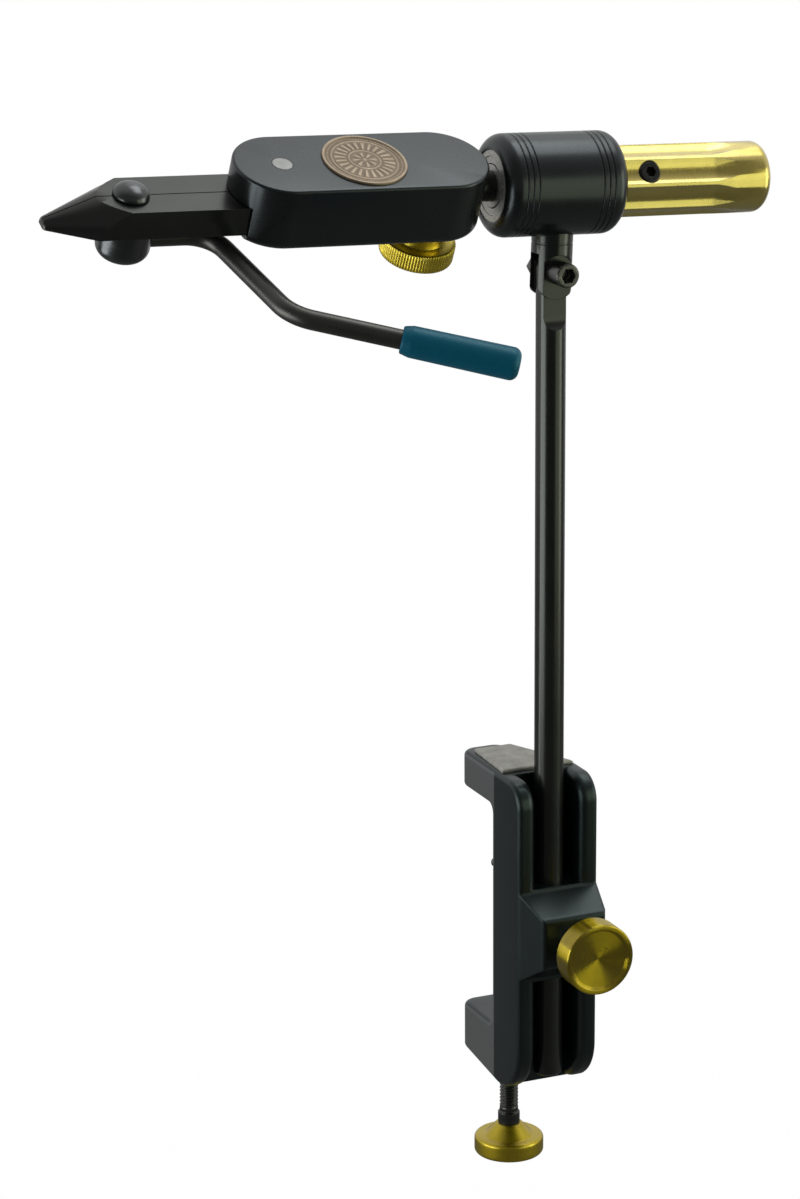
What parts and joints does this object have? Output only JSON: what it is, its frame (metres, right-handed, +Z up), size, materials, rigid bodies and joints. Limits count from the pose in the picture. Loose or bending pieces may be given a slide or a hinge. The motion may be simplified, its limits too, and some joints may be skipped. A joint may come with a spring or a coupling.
{
  "type": "fly tying vise",
  "caption": "Rotary fly tying vise: cam-lever jaws on a ball-bearing head with a fluted handle, carried on a tilting knuckle and a stem in a C-clamp.",
  "frame": {"origin": "on the clamping face under the upper arm, in line with the clamp screw", "axes": "+Z up along the clamp screw, +X along the level rotary axis towards the handle, +Y out along the clamp's arms"},
  "size_m": [0.2369, 0.1065, 0.3543],
  "materials": {
    "cast_black": "satin black coated casting",
    "anodised_black": "satin black anodised",
    "plate_grey": "matt silver grey",
    "black_oxide": "black oxide, lightly polished",
    "turned_brass": "polished, turned",
    "bright_steel": "ground",
    "bronze": "antique, rubbed high spots",
    "grip_teal": "dipped vinyl, soft gloss",
    "bush_nylon": "moulded"
  },
  "bodies": {
    "clamp": {"clamp_body": "cast_black", "top_plate": "plate_grey"},
    "clamp_pad": {"clamp_swivel_pad": "black_oxide"},
    "clamp_screw": {"clamp_screw": "black_oxide", "clamp_screw_knob": "turned_brass"},
    "lock_pad": {"stem_lock_pad": "turned_brass"},
    "lock_knob": {"stem_lock_screw": "bright_steel", "stem_lock_knob": "turned_brass"},
    "stem_bush": {"stem_bush": "bush_nylon"},
    "stem": {"stem": "black_oxide"},
    "barrel": {"knuckle_post": "black_oxide", "knuckle_bolt": "black_oxide", "knuckle_nut": "black_oxide", "barrel_housing": "anodised_black", "front_bearing_outer_ring": "bright_steel", "front_bearing_shields": "bright_steel", "rear_bearing_outer_ring": "bright_steel", "rear_bearing_shields": "bright_steel"},
    "ball_cages": {"front_bearing_balls": "bright_steel", "front_ball_cage": "turned_brass", "rear_bearing_balls": "bright_steel", "rear_ball_cage": "turned_brass"},
    "head": {"rotary_shaft": "black_oxide", "bearing_spacer": "bright_steel", "front_bearing_inner_ring": "bright_steel", "rear_bearing_inner_ring": "bright_steel", "rotary_handle": "turned_brass", "handle_set_screw": "black_oxide", "head_body": "anodised_black", "head_disc": "bronze", "jaw_pivot_pin": "bright_steel"},
    "lever": {"cam_pin": "black_oxide", "lever_boss": "black_oxide", "lever_rod": "black_oxide", "lever_grip": "grip_teal", "lever_set_screw": "black_oxide"},
    "near_jaw": {"near_jaw": "black_oxide", "jaw_spring": "bright_steel"},
    "far_jaw": {"far_jaw": "black_oxide"},
    "thumb_pad": {"thumb_pad": "turned_brass"},
    "thumb_knob": {"thumb_screw": "bright_steel", "thumb_knob": "turned_brass"}
  },
  "joints": [
    {"name": "clamp_pad_rise", "type": "slide", "parent": "clamp", "child": "clamp_pad", "axis": [0, 0, 1], "range_m": [-0.0464, 0.0218]},
    {"name": "clamp_screw_turn", "type": "hinge", "parent": "clamp_pad", "child": "clamp_screw", "pos_m": [0, 0, 0], "axis": [0, 0, 1], "range_deg": [-13160, 6185]},
    {"name": "lock_pad_back", "type": "slide", "parent": "clamp", "child": "lock_pad", "axis": [0, -1, 0], "range_m": [0, 0.00253]},
    {"name": "lock_knob_turn", "type": "hinge", "parent": "lock_pad", "child": "lock_knob", "pos_m": [0, -0.03, -0.038], "axis": [0, -1, 0], "range_deg": [0, 721]},
    {"name": "stem_turn", "type": "hinge", "parent": "clamp", "child": "stem_bush", "pos_m": [0, -0.03, -0.04], "axis": [0, 0, 1], "continuous": true},
    {"name": "stem_slide", "type": "slide", "parent": "stem_bush", "child": "stem", "axis": [0, 0, 1], "range_m": [-0.085, 0.03]},
    {"name": "head_tilt", "type": "hinge", "parent": "stem", "child": "barrel", "pos_m": [0, -0.03, 0.1777], "axis": [0, 1, 0], "range_deg": [-20, 45]},
    {"name": "cage_roll", "type": "hinge", "parent": "barrel", "child": "ball_cages", "pos_m": [0.00097, -0.03, 0.20458], "axis": [0.9993, 0, -0.0361], "continuous": true},
    {"name": "head_spin", "type": "hinge", "parent": "barrel", "child": "head", "pos_m": [0.00097, -0.03, 0.20458], "axis": [0.9993, 0, -0.0361], "continuous": true},
    {"name": "lever_squeeze", "type": "hinge", "parent": "head", "child": "lever", "pos_m": [-0.13754, -0.03, 0.20959], "axis": [0.0328, -0.4201, 0.9069], "range_deg": [0, 25], "stiffness_Nm_per_rad": 2, "springref_deg": -11.46},
    {"name": "near_jaw_open", "type": "hinge", "parent": "head", "child": "near_jaw", "pos_m": [-0.09137, -0.03, 0.20792], "axis": [0.0328, -0.4201, 0.9069], "range_deg": [0, 0.71]},
    {"name": "far_jaw_open", "type": "hinge", "parent": "head", "child": "far_jaw", "pos_m": [-0.09137, -0.03, 0.20792], "axis": [0.0328, -0.4201, 0.9069], "range_deg": [-0.71, 0]},
    {"name": "thumb_pad_back", "type": "slide", "parent": "head", "child": "thumb_pad", "axis": [-0.0328, 0.4201, -0.9069], "range_m": [0, 0.00253]},
    {"name": "thumb_knob_turn", "type": "hinge", "parent": "thumb_pad", "child": "thumb_knob", "pos_m": [-0.0409, -0.03, 0.2061], "axis": [-0.0328, 0.4201, -0.9069], "range_deg": [0, 721]}
  ],
  "couplings": [
    {"joint": "clamp_screw_turn", "follows": "clamp_pad_rise", "rad_per_m": 4947.4},
    {"joint": "lock_knob_turn", "follows": "lock_pad_back", "rad_per_m": 4947.4},
    {"joint": "thumb_knob_turn", "follows": "thumb_pad_back", "rad_per_m": 4947.4},
    {"joint": "cage_roll", "follows": "head_spin", "ratio": 0.3748},
    {"joint": "near_jaw_open", "follows": "lever_squeeze", "ratio": 0.028},
    {"joint": "far_jaw_open", "follows": "lever_squeeze", "ratio": -0.028}
  ]
}
